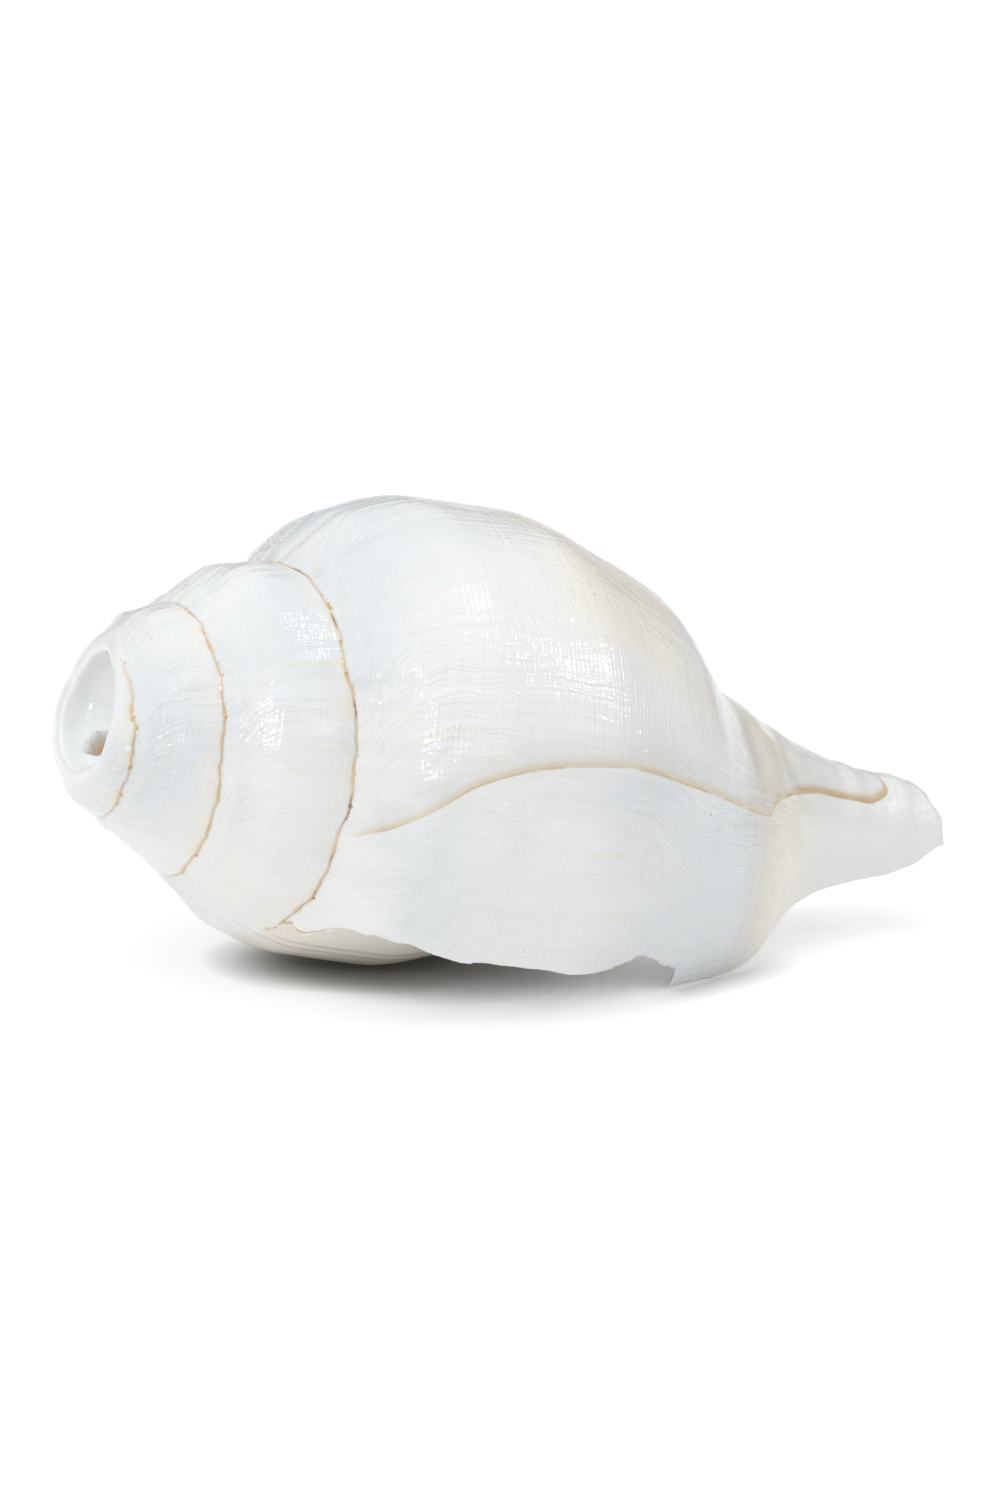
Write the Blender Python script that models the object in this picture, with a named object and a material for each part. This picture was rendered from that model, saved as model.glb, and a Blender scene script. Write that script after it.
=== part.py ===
"""A blowing conch: a heavy white spiral sea shell, resting with its opening down.

The shell is one solid. Its skin is a strip that winds round the shell's axis and
grows as it goes, and a second, smaller winding body is cut out of it to leave the
hollow. The worn blow hole, the chipped lip and the small flats it rests on are cut
last. Lengths are in millimetres here and turned into metres when a mesh is made.

Shell coordinates: u runs along the axis from the vanished tip of the spire to the
canal end, r is the distance from the axis, and the turn is the growth angle in
radians, 0 at the middle of the lip and negative in older shell.
"""

import math

import bmesh
import bpy
import numpy as np

# Driving dimensions: the winding
SUTURE_AT_LIP = 60.9        # u of the seam between the last two whorls, at the lip
SUTURE_GROWTH = 0.0648      # its growth along the axis, per radian
SUTURE_CLIMB = 10.4          # how far the seam climbs back near the lip
TIP_AT_LIP = 192.7          # u where the canal profile ends, at the lip
TIP_GROWTH = 0.0287
RADIUS_GROWTH = 0.0619
NECK_PLACE = [0.0, 0.35, 0.50, 0.62, 0.75, 1.0]
NECK_GROWTH = [0.0, 0.0, 0.003, 0.155, 0.005, 0.006]   # extra growth of the radius at the neck
PROFILE_PLACE = [0.0, 0.08, 0.18, 0.30, 0.42, 0.54, 0.64, 0.72, 0.80, 0.90, 1.0]
PROFILE_RADIUS = [34.2, 46.0, 50.6, 50.8, 46.0, 38.8, 30.3, 18.8, 13.5, 10.4, 9.4]

# The lip: how far it runs ahead of, or behind, its mean angle, from seam to canal
LIP_PLACE = [0.0, 0.06, 0.15, 0.30, 0.50, 0.70, 0.88, 0.93, 1.0]
LIP_LEAD = [15.0, 4.0, -1.7, -2.3, 8.0, 15.0, -15.0, -46.0, -90.0]
STRIP_END = 0.50            # the skin is wound a little past the lip, then cut back
WALL_BEHIND = [0.0, 0.25, 0.6, 1.5, 3.0, 5.2, 7.0, 15.0]    # radians behind the lip
WALL = [1.3, 2.8, 3.6, 3.8, 5.5, 5.5, 2.4, 2.2]             # wall thickness there
CANAL_WALL = 2.2
GLAZE = 0.35                # raised layer on the old whorl inside the opening

# The middle pillar and the canal
PILLAR_BASE = 7.6
PILLAR_END = 4.2
CANAL_END = 181.9           # u of the end of the canal
CANAL_SLANT = 4.0           # the end is longer on the lip side by this much each way
FOLD_HEIGHT = 0.9           # height of the slanting folds on the pillar

# The ground-down end with its bowl
CUT_AT = 23.1
CUT_SLANT = math.radians(6.0)      # the cut leans, so more is gone at the top
BOWL_RADIUS = 9.4
BOWL_DEPTH = 6.5
RIM_RADIUS = 11.5
HOLE_TURN = math.radians(65.6)     # the pierced hole is at the bottom of the bowl
HOLE_SIZES = [3.3, 2.6, 3.6, 2.9, 3.2, 2.4, 3.5, 2.8]

# The bite out of the lip: along the axis, and degrees back from the edge
CHIP_AT = 116.4
CHIP_OUTLINE = [(0.0, -9.0), (0.0, 0.6), (3.0, 2.2), (5.0, 4.4), (6.5, 4.6), (9.0, 3.2),
                (12.0, 2.0), (12.4, -9.0)]

# How it lies
LIP_ANGLE = math.radians(122.0)   # from straight up, round towards the viewer
AXIS_DROP = math.radians(11.3)    # the axis falls towards the canal
CENTRE = (-2.538, -4.327)         # middle of the resting shell, from the axis point at AXIS_PIN
AXIS_PIN = 104.5                  # u of the point the shell is turned about
FLOOR = -31.222                   # the floor grinds the two lowest places flat by 0.4

COLUMNS = 58                # columns of the skin in one turn
SPIRE_ROWS = 5              # rows between one seam and the next
BODY_ROWS = 18              # rows from there to the canal end
MM = 0.001
TURN = 2 * math.pi


def smooth_curve(x, places, values):
    """A smooth curve through the given points that doesn't overshoot them."""
    xs, ys = np.asarray(places, float), np.asarray(values, float)
    step = np.diff(xs)
    slope = np.diff(ys) / step
    tangent = np.zeros_like(ys)
    same = slope[:-1] * slope[1:] > 0
    before, after = slope[:-1][same], slope[1:][same]
    tangent[1:-1][same] = 2 * before * after / (before + after)
    tangent[0], tangent[-1] = slope[0], slope[-1]
    x = np.clip(x, xs[0], xs[-1])
    i = np.clip(np.searchsorted(xs, x, side="right") - 1, 0, len(xs) - 2)
    t = (x - xs[i]) / step[i]
    return (
        ys[i] * (1 + 2 * t) * (1 - t) ** 2
        + tangent[i] * step[i] * t * (1 - t) ** 2
        + ys[i + 1] * t * t * (3 - 2 * t)
        + tangent[i + 1] * step[i] * t * t * (t - 1)
    )


def ramp(x, low, high):
    """Rises smoothly from 0 at low to 1 at high."""
    t = np.clip((x - low) / (high - low), 0.0, 1.0)
    return t * t * (3 - 2 * t)


def larger(a, b, blend):
    """The larger of two radii, blended where they are close."""
    return 0.5 * (a + b + np.sqrt((a - b) ** 2 + blend * blend))


def seam_u(turn):
    climb = np.clip((turn + 0.75) / 1.6, 0.0, 0.9) ** 2
    return SUTURE_AT_LIP * np.exp(SUTURE_GROWTH * turn) - SUTURE_CLIMB * climb


def tip_u(turn):
    return TIP_AT_LIP * np.exp(TIP_GROWTH * turn)


def canal_end_u(turn):
    return CANAL_END + CANAL_SLANT * np.cos(turn)


def place_on_whorl(u, turn):
    """0 at the whorl's seam and 1 at the end of its canal."""
    return (u - seam_u(turn)) / (tip_u(turn) - seam_u(turn))


def whorl_radius(u, turn):
    """Outer radius of the whorl that was laid down at this turn."""
    place = np.clip(place_on_whorl(u, turn), 0.0, 1.2)
    radius = smooth_curve(place, PROFILE_PLACE, PROFILE_RADIUS)
    past_tip = ramp(place, 1.0, 1.15)
    neck = smooth_curve(place, NECK_PLACE, NECK_GROWTH) * np.maximum(turn, -3.2)
    return radius * np.exp(RADIUS_GROWTH * turn + neck) * (1 - past_tip)


def pillar_radius(u, turn):
    """The solid middle, with slanting folds where the opening shows it."""
    radius = PILLAR_END + (PILLAR_BASE - PILLAR_END) * (1 - ramp(u, 120, 180))
    radius = radius * ramp(u, -10, 60)
    folds = np.clip(np.cos(TURN * (u - 9.0 * turn) / 11.0), 0, 1) ** 2
    return radius + FOLD_HEIGHT * folds * ramp(u, 96, 104) * (1 - ramp(u, 138, 150))


def skin_radius(u, turn):
    """The outside of the shell as it was when the shell had grown to this turn."""
    radius = larger(whorl_radius(u, turn), pillar_radius(u, turn), 3.0)
    seam = seam_u(turn)
    older = larger(whorl_radius(seam, turn - TURN), pillar_radius(seam, turn), 3.0) - 0.5
    at_seam = larger(whorl_radius(seam, turn), pillar_radius(seam, turn), 3.0)
    return radius + (older - at_seam) * np.exp(-(u - seam) / 4.0)


def older_skin(u, turn):
    """The skin one turn earlier, which the newer whorl lies on."""
    return np.where(
        u > seam_u(turn - TURN),
        skin_radius(np.maximum(u, seam_u(turn - TURN)), turn - TURN),
        skin_radius(np.maximum(u, seam_u(turn - 2 * TURN)), turn - 2 * TURN),
    )


def to_world(u, r, turn):
    """Points of the resting shell, in millimetres, from shell coordinates."""
    angle = LIP_ANGLE + turn
    up, near = r * np.cos(angle), r * np.sin(angle)
    along = u - AXIS_PIN
    x = along * math.cos(AXIS_DROP) + up * math.sin(AXIS_DROP)
    z = -along * math.sin(AXIS_DROP) + up * math.cos(AXIS_DROP)
    return np.stack([x - CENTRE[0], -near - CENTRE[1], z - FLOOR], axis=-1)


def mesh_object(name, points, faces):
    """A closed mesh with outward faces, in metres."""
    mesh = bpy.data.meshes.new(name)
    mesh.from_pydata((np.asarray(points) * MM).tolist(), [], faces)
    build = bmesh.new()
    build.from_mesh(mesh)
    bmesh.ops.remove_doubles(build, verts=build.verts, dist=1e-7)
    bmesh.ops.triangulate(build, faces=[f for f in build.faces if len(f.verts) > 4])
    bmesh.ops.recalc_face_normals(build, faces=build.faces)
    if build.calc_volume(signed=True) < 0:
        bmesh.ops.reverse_faces(build, faces=build.faces)
    build.to_mesh(mesh)
    build.free()
    thing = bpy.data.objects.new(name, mesh)
    bpy.context.scene.collection.objects.link(thing)
    return thing


def wound_skin():
    """The outside of the whole shell, still solid and still with its spire."""
    turns_before = 3.6
    count = int(round(turns_before * COLUMNS))
    turns = STRIP_END + (np.arange(count + 1) - count) * TURN / COLUMNS
    cap_rows = 3
    last = SPIRE_ROWS + BODY_ROWS + cap_rows
    points, index = [], {}

    def add(column, row, u, r):
        index[column, row] = len(points)
        points.append(to_world(u, r, turns[column]))

    for column, turn in enumerate(turns):
        start, following = seam_u(turn), seam_u(turn + TURN)
        for row in range(SPIRE_ROWS + 1):
            if row == 0 and column >= COLUMNS:
                index[column, 0] = index[column - COLUMNS, SPIRE_ROWS]
                continue
            share = (row / SPIRE_ROWS) ** 1.25
            u = start + (following - start) * share
            r = skin_radius(u, turn)
            if row == SPIRE_ROWS and turn < STRIP_END - TURN:
                r = r - 0.5
            add(column, row, u, r)
        if column < count - COLUMNS:
            continue
        end = canal_end_u(turn)
        for row in range(1, BODY_ROWS + 1):
            share = row / BODY_ROWS
            share = share + 0.10 * share * (1 - share)
            u = following + (end - 2.0 - following) * share
            add(column, SPIRE_ROWS + row, u, skin_radius(u, turn))
        edge = skin_radius(end, turn)
        for step, (back, inset) in enumerate([(0.6, 0.9), (0.0, 0.62), (-0.3, 0.3)]):
            u = CANAL_END + (end - CANAL_END) * inset - back
            add(column, SPIRE_ROWS + BODY_ROWS + 1 + step, u, edge * inset)
    spire_pole, canal_pole = len(points), len(points) + 1
    points.append(to_world(seam_u(turns[0]) * 0.8, 0.0, 0.0))
    points.append(to_world(CANAL_END + 0.4, 0.0, 0.0))

    faces = []
    for column in range(count):
        rows = last if column >= count - COLUMNS else SPIRE_ROWS
        for row in range(rows):
            faces.append([
                index[column, row], index[column, row + 1],
                index[column + 1, row + 1], index[column + 1, row],
            ])
        if column >= count - COLUMNS:
            faces.append([index[column, last], canal_pole, index[column + 1, last]])
        if column < COLUMNS:
            faces.append([index[column, 0], index[column + 1, 0], spire_pole])
    for row in range(SPIRE_ROWS):
        faces.append([index[0, row], index[0, row + 1], spire_pole])
    outer = [index[count, row] for row in range(last + 1)] + [canal_pole]
    inner = [index[count - COLUMNS, row] for row in range(SPIRE_ROWS, last + 1)]
    faces += between_chains(points, outer, inner + [canal_pole])
    return mesh_object("shell", points, faces)


def between_chains(points, first, second):
    """Triangles that fill the gap between two chains with common end points."""
    faces, i, j = [], 0, 0
    while i < len(first) - 1 or j < len(second) - 1:
        along_first = i < len(first) - 1 and (
            j == len(second) - 1 or points[first[i + 1]][0] <= points[second[j + 1]][0]
        )
        if along_first:
            corner = [first[i], first[i + 1], second[j]]
            i += 1
        else:
            corner = [first[i], second[j + 1], second[j]]
            j += 1
        if len(set(corner)) == 3:
            faces.append(corner)
    return faces


def lip_lead(place):
    return np.radians(smooth_curve(place, LIP_PLACE, LIP_LEAD))


def wall_at(u, wall):
    """The wall is thinner along the canal than in the body."""
    return wall + (np.minimum(wall, CANAL_WALL) - wall) * ramp(u, 135, 160)


def opening_section(share, points_a_side):
    """An outline of the hollow past the lip: share runs from the lip to the strip's end."""
    low = seam_u(float(lip_lead(0.0))) - 3.0
    high = CANAL_END + CANAL_SLANT + 8.0
    u = low + (high - low) * np.linspace(0, 1, points_a_side) ** 1.2
    lead = lip_lead(np.clip(place_on_whorl(u, 0.0), 0, 1))
    turn = lead + 0.02 + (STRIP_END + 0.08 - lead) * share
    inner = older_skin(u, turn) + GLAZE
    return u, turn, inner, np.maximum(skin_radius(u, turn), inner) + 7.0


def inside_section(behind, points_a_side):
    """An outline of the hollow this far behind the lip, in radians of growth."""
    fine = np.linspace(0.0, 1.0, 160)
    lip_share = 1 - ramp(behind, 0.3, 2.5)
    start, end = seam_u(-behind), tip_u(-behind)
    thick = float(smooth_curve(behind, WALL_BEHIND, WALL))

    def radii(u):
        place = np.clip(place_on_whorl(u, -behind), 0, 1)
        turn = lip_lead(place) * lip_share - behind
        return turn, older_skin(u, turn) + GLAZE, skin_radius(u, turn) - wall_at(u, thick)

    u = start + fine * (end - start)
    turn, inner, outer = radii(u)
    low = u[int(np.argmax(outer - inner > 1.2))]
    reach = 0.93 - 0.27 * ramp(behind, 0.3, 3.0)
    closed = (u > low) & ((outer - inner < 1.0) | (fine > reach))
    high = u[int(np.argmax(closed))] if behind > 0.02 else CANAL_END + CANAL_SLANT + 8.0
    u = low + (high - low) * np.linspace(0, 1, points_a_side) ** 1.2
    turn, inner, outer = radii(u)
    return u, turn, inner, np.maximum(outer, inner + 0.8)


def hollow(points_a_side=15):
    """The hollow: a winding body from the pierced end out through the opening."""
    sections = [opening_section(share, points_a_side) for share in (1.0, 0.6, 0.25, 0.0)]
    near = [0.0, 0.05, 0.14, 0.26, 0.40, 0.56]
    for behind in near + np.arange(0.80, 14.3, 0.36).tolist():
        sections.append(inside_section(behind, points_a_side))
    size = 2 * points_a_side
    points = np.concatenate([
        np.concatenate([to_world(u, outer, turn), to_world(u, inner, turn)[::-1]])
        for u, turn, inner, outer in sections
    ])
    faces = []
    for ring in range(len(sections) - 1):
        a, b = ring * size, (ring + 1) * size
        for k in range(size):
            n = (k + 1) % size
            faces.append([a + k, a + n, b + n, b + k])
    for base in (0, (len(sections) - 1) * size):
        for k in range(points_a_side - 1):
            faces.append([base + k, base + k + 1, base + size - 2 - k, base + size - 1 - k])
    return mesh_object("hollow", points, faces)


def worn_end(segments=36):
    """Cuts the spire off, rounds the rim that is left and hollows the bowl in it."""
    outline = [
        (BOWL_DEPTH, 0.0), (0.93 * BOWL_DEPTH, 0.38 * BOWL_RADIUS),
        (0.68 * BOWL_DEPTH, 0.72 * BOWL_RADIUS), (0.9, BOWL_RADIUS),
        (0.1, BOWL_RADIUS + 0.9), (0.0, RIM_RADIUS), (0.9, RIM_RADIUS + 2.0),
        (3.0, RIM_RADIUS + 3.7), (7.0, RIM_RADIUS + 6.0), (12.0, 34.0), (-50.0, 34.0),
        (-50.0, 0.0),
    ]
    points, faces = [], []
    for depth, r in outline:
        for k in range(segments):
            turn = k * TURN / segments
            lean = r * math.cos(LIP_ANGLE + turn) * math.tan(CUT_SLANT)
            points.append(to_world(CUT_AT + depth + lean, r, turn))
    for ring in range(len(outline) - 1):
        for k in range(segments):
            n = (k + 1) % segments
            a, b = ring * segments, (ring + 1) * segments
            faces.append([a + k, a + n, b + n, b + k])
    return mesh_object("worn_end", points, faces)


def prism(name, near_outline, far_outline):
    """A closed body between two outlines with the same number of points."""
    size = len(near_outline)
    faces = [list(range(size)), list(range(size, 2 * size))]
    for k in range(size):
        n = (k + 1) % size
        faces.append([k, n, size + n, size + k])
    return mesh_object(name, np.concatenate([near_outline, far_outline]), faces)


def pierced_hole():
    """The jagged hole from the bowl's floor into the oldest whorl that is open."""
    start = to_world(CUT_AT + 1.0, 3.5, HOLE_TURN)
    end = to_world(CUT_AT + 15.0, 18.8, HOLE_TURN)
    run = (end - start) / np.linalg.norm(end - start)
    side = to_world(0.0, 1.0, HOLE_TURN + TURN / 4) - to_world(0.0, 0.0, 0.0)
    other = np.cross(run, side)
    rim = []
    for k, size in enumerate(HOLE_SIZES):
        angle = k * TURN / len(HOLE_SIZES)
        rim.append(size * (math.cos(angle) * side + 0.85 * math.sin(angle) * other))
    return prism("pierced_hole", start + np.array(rim), end + np.array(rim))


def lip_chip():
    """The bite missing from the edge of the lip."""
    inner, outer = [], []
    for ahead, back in CHIP_OUTLINE:
        u = CHIP_AT + ahead
        turn = float(lip_lead(place_on_whorl(u, 0.0))) - math.radians(back)
        inner.append(to_world(u, 26.0, turn))
        outer.append(to_world(u, 62.0, turn))
    return prism("lip_chip", np.array(inner), np.array(outer))


def floor_below():
    """A block that grinds the small flats the shell rests on."""
    top = np.array([(-120, -90, 0), (120, -90, 0), (120, 90, 0), (-120, 90, 0)], float)
    return prism("floor_below", top - np.array([0, 0, 40]), top)


def cut(target, cutter):
    """Takes the cutter away from the target and hides the cutter."""
    change = target.modifiers.new("cut_" + cutter.name, "BOOLEAN")
    change.operation = "DIFFERENCE"
    change.solver = "EXACT"
    change.object = cutter
    cutter.hide_render = True
    cutter.display_type = "WIRE"


def main():
    for thing in list(bpy.data.objects):
        bpy.data.objects.remove(thing, do_unlink=True)
    shell = wound_skin()
    for cutter in (hollow(), worn_end(), pierced_hole(), lip_chip(), floor_below()):
        cut(shell, cutter)
    glaze = bpy.data.materials.new("shell_glaze")
    glaze.use_nodes = True
    surface = glaze.node_tree.nodes["Principled BSDF"]
    surface.inputs["Base Color"].default_value = (0.88, 0.87, 0.85, 1.0)
    surface.inputs["Roughness"].default_value = 0.28
    shell.data.materials.append(glaze)
    shell.data.shade_smooth()


main()
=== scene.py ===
"""The looks of a blowing conch: a glossy white spiral shell with tan seams and growth lines.

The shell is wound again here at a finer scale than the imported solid, from the same growth
rates and profile, with its wavy seams and their rolled edge, low bumps, worn rim and rounded
lip in the mesh. Growth lines, threads, stains and gloss are in the node material. Lengths
are in millimetres here and turned into metres when a mesh is made.

Shell coordinates: u runs along the axis from the vanished tip of the spire to the canal end,
r is the distance from the axis, and the turn is the growth angle in radians, 0 at the middle
of the lip and negative in older shell.
"""

import logging
import math
from dataclasses import dataclass, field
from enum import Enum

import bmesh
import bpy
import numpy as np
from mathutils import Matrix, Vector

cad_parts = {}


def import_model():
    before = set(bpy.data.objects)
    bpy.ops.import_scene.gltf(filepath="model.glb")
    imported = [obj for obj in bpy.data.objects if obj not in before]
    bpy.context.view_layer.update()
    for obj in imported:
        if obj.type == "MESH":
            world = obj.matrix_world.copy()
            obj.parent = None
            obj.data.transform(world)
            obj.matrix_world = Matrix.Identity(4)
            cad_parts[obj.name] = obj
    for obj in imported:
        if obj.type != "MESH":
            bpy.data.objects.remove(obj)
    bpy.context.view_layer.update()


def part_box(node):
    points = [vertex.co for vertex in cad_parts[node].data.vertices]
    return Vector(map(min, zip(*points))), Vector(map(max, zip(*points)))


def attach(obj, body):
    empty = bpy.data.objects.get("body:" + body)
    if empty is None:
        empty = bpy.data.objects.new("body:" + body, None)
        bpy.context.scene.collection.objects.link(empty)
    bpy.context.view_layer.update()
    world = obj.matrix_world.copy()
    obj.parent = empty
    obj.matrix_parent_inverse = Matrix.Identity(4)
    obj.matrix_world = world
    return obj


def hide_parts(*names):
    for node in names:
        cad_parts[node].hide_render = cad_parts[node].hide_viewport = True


MM = 0.001
TURN = 2 * math.pi
NODE = "shell"
SLOT = "shell_glaze"
log = logging.getLogger("conch")


def smooth_curve(x: np.ndarray, places: tuple, values: tuple) -> np.ndarray:
    """A smooth curve through the given points that doesn't overshoot them.

    Args:
        x: where to read the curve.
        places: the points' places, rising.
        values: the curve's value at each place.

    Returns:
        The curve's values at x, held constant beyond the first and last place.
    """
    xs, ys = np.asarray(places, float), np.asarray(values, float)
    step = np.diff(xs)
    slope = np.diff(ys) / step
    tangent = np.zeros_like(ys)
    same = slope[:-1] * slope[1:] > 0
    before, after = slope[:-1][same], slope[1:][same]
    tangent[1:-1][same] = 2 * before * after / (before + after)
    tangent[0], tangent[-1] = slope[0], slope[-1]
    x = np.clip(x, xs[0], xs[-1])
    i = np.clip(np.searchsorted(xs, x, side="right") - 1, 0, len(xs) - 2)
    t = (x - xs[i]) / step[i]
    return (
        ys[i] * (1 + 2 * t) * (1 - t) ** 2
        + tangent[i] * step[i] * t * (1 - t) ** 2
        + ys[i + 1] * t * t * (3 - 2 * t)
        + tangent[i + 1] * step[i] * t * t * (t - 1)
    )


def ramp(x: np.ndarray, low: float, high: float) -> np.ndarray:
    """Rises smoothly from 0 at low to 1 at high."""
    t = np.clip((x - low) / (high - low), 0.0, 1.0)
    return t * t * (3 - 2 * t)


def bell(x: np.ndarray, middle: float, width: float) -> np.ndarray:
    """A rounded hump of height 1 at the middle."""
    return np.exp(-(((x - middle) / width) ** 2))


def larger(a: np.ndarray, b: np.ndarray, blend: float) -> np.ndarray:
    """The larger of two radii, blended where they are close."""
    return 0.5 * (a + b + np.sqrt((a - b) ** 2 + blend * blend))


def ripple(x: np.ndarray, lengths: tuple, heights: tuple, seed: int) -> np.ndarray:
    """An uneven wave: a few sine waves with set lengths and heights, and seeded phases.

    Args:
        x: where to read the wave.
        lengths: the length of each sine wave.
        heights: the height of each.
        seed: the seed of their phases.

    Returns:
        The wave's heights at x.
    """
    phases = np.random.default_rng(seed).uniform(0, TURN, len(lengths))
    return sum(
        height * np.sin(TURN * x / length + phase)
        for length, height, phase in zip(lengths, heights, phases)
    )


@dataclass(frozen=True)
class Winding:
    """The law that the shell grows by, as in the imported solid, with the seam's waviness."""

    suture_at_lip: float = 60.9
    suture_growth: float = 0.0648
    suture_climb: float = 10.4
    tip_at_lip: float = 192.7
    tip_growth: float = 0.0287
    radius_growth: float = 0.0619
    neck_place: tuple = (0.0, 0.35, 0.50, 0.62, 0.75, 1.0)
    neck_growth: tuple = (0.0, 0.0, 0.003, 0.155, 0.005, 0.006)
    profile_place: tuple = (0.0, 0.08, 0.18, 0.30, 0.42, 0.54, 0.64, 0.72, 0.80, 0.90, 1.0)
    profile_radius: tuple = (34.2, 46.0, 50.6, 50.8, 46.0, 38.8, 30.3, 18.8, 13.5, 10.4, 9.4)
    lip_place: tuple = (0.0, 0.014, 0.03, 0.05, 0.08, 0.15, 0.30, 0.35, 0.49, 0.55, 0.60, 0.70,
                        0.83, 0.88, 0.905, 0.925, 1.0)
    lip_lead_deg: tuple = (21.0, 18.0, 8.5, 3.0, 0.0, -1.2, -2.3, -2.0, 8.0, 10.0, 12.0, 13.5,
                           11.0, 4.0, -7.0, -25.0, -45.0)
    pillar_base: float = 7.6
    pillar_end: float = 4.2
    canal_end: float = 181.9
    canal_slant: float = 4.0
    fold_height: float = 0.9
    seam_waves: tuple = (0.93, 0.47, 0.29, 0.165, 0.105)
    seam_wave_heights: tuple = (0.26, 0.19, 0.12, 0.09, 0.06)

    def seam_u(self, turn: np.ndarray) -> np.ndarray:
        """Where the whorl of this turn starts, along the axis."""
        climb = np.clip((turn + 0.75) / 1.6, 0.0, 0.9) ** 2
        wave = ripple(turn, self.seam_waves, self.seam_wave_heights, 3)
        even = self.suture_at_lip * np.exp(self.suture_growth * turn)
        return even - self.suture_climb * climb + wave * np.exp(self.suture_growth * turn)

    def tip_u(self, turn: np.ndarray) -> np.ndarray:
        """Where the whorl's canal profile ends, along the axis."""
        return self.tip_at_lip * np.exp(self.tip_growth * turn)

    def canal_end_u(self, turn: np.ndarray) -> np.ndarray:
        """Where the canal is cut off, with the small waves of its worn edge."""
        wave = 0.35 * np.sin(5.3 * turn) + 0.25 * np.sin(11.7 * turn + 1.0)
        return self.canal_end + self.canal_slant * np.cos(turn) + wave

    def place(self, u: np.ndarray, turn: np.ndarray) -> np.ndarray:
        """0 at the whorl's seam and 1 at the end of its canal."""
        seam = self.seam_u(turn)
        return (u - seam) / (self.tip_u(turn) - seam)

    def lip_lead(self, place: np.ndarray) -> np.ndarray:
        """How far the lip runs ahead of its mean angle, in radians."""
        return np.radians(smooth_curve(place, self.lip_place, self.lip_lead_deg))

    def whorl_radius(self, u: np.ndarray, turn: np.ndarray) -> np.ndarray:
        """Outer radius of the whorl that was laid down at this turn.

        Args:
            u: places along the axis.
            turn: growth angles, with the same shape as u.

        Returns:
            Radii, falling to 0 past the end of the canal profile.
        """
        place = np.clip(self.place(u, turn), 0.0, 1.2)
        radius = smooth_curve(place, self.profile_place, self.profile_radius)
        past_tip = ramp(place, 1.0, 1.15)
        neck = smooth_curve(place, self.neck_place, self.neck_growth) * np.maximum(turn, -3.2)
        return radius * np.exp(self.radius_growth * turn + neck) * (1 - past_tip)

    def pillar_radius(self, u: np.ndarray, turn: np.ndarray) -> np.ndarray:
        """The solid middle, with slanting folds where the opening shows it.

        Args:
            u: places along the axis.
            turn: growth angles, with the same shape as u.

        Returns:
            The pillar's radii.
        """
        radius = self.pillar_end + (self.pillar_base - self.pillar_end) * (1 - ramp(u, 120, 180))
        radius = radius * ramp(u, -10, 60)
        folds = np.clip(np.cos(TURN * (u - 9.0 * turn) / 11.0), 0, 1) ** 2
        return radius + self.fold_height * folds * ramp(u, 96, 104) * (1 - ramp(u, 138, 150))

    def skin_radius(self, u: np.ndarray, turn: np.ndarray) -> np.ndarray:
        """The outside of the shell as it was when the shell had grown to this turn.

        Args:
            u: places along the axis.
            turn: growth angles, with the same shape as u.

        Returns:
            Radii, raised near the seam so that the whorl meets the older one.
        """
        radius = larger(self.whorl_radius(u, turn), self.pillar_radius(u, turn), 3.0)
        seam = self.seam_u(turn)
        pillar = self.pillar_radius(seam, turn)
        older = larger(self.whorl_radius(seam, turn - TURN), pillar, 3.0) - 0.5
        at_seam = larger(self.whorl_radius(seam, turn), pillar, 3.0)
        return radius + (older - at_seam) * np.exp(-(u - seam) / 4.0)

    def older_skin(self, u: np.ndarray, turn: np.ndarray) -> np.ndarray:
        """The skin one turn earlier, which the newer whorl lies on.

        Args:
            u: places along the axis.
            turn: growth angles, with the same shape as u.

        Returns:
            Radii of that skin, or of the one before it where u is above its seam.
        """
        once, twice = self.seam_u(turn - TURN), self.seam_u(turn - 2 * TURN)
        return np.where(
            u > once,
            self.skin_radius(np.maximum(u, once), turn - TURN),
            self.skin_radius(np.maximum(u, twice), turn - 2 * TURN),
        )

    def growth_mm(self, turn: np.ndarray) -> np.ndarray:
        """The length of shell laid down from the lip back to this turn, negative when older."""
        return 47.0 * (np.exp(self.radius_growth * turn) - 1) / self.radius_growth


@dataclass(frozen=True)
class Lie:
    """How the shell lies on the floor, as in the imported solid."""

    lip_angle: float = math.radians(122.0)
    axis_drop: float = math.radians(11.3)
    centre: tuple = (-2.538, -4.327)
    axis_pin: float = 104.5
    floor: float = -31.222

    def to_world(self, u: np.ndarray, r: np.ndarray, turn: np.ndarray) -> np.ndarray:
        """Points of the resting shell, in millimetres, from shell coordinates.

        Args:
            u: places along the axis.
            r: distances from the axis.
            turn: growth angles.

        Returns:
            The points, with x, y and z on the last axis.
        """
        angle = self.lip_angle + turn
        up, near = r * np.cos(angle), r * np.sin(angle)
        along = u - self.axis_pin
        x = along * math.cos(self.axis_drop) + up * math.sin(self.axis_drop)
        z = -along * math.sin(self.axis_drop) + up * math.cos(self.axis_drop)
        return np.stack([x - self.centre[0], -near - self.centre[1], z - self.floor], axis=-1)

    def from_world(self, points: np.ndarray) -> tuple:
        """Shell coordinates of points in millimetres.

        Args:
            points: an array of points, one a row.

        Returns:
            u, r and the turn, the last only up to a whole number of turns.
        """
        x, y, z = (points + np.array([*self.centre, self.floor])).T
        along = x * math.cos(self.axis_drop) - z * math.sin(self.axis_drop)
        up = x * math.sin(self.axis_drop) + z * math.cos(self.axis_drop)
        turn = np.arctan2(-y, up) - self.lip_angle
        return along + self.axis_pin, np.hypot(up, y), turn


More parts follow.
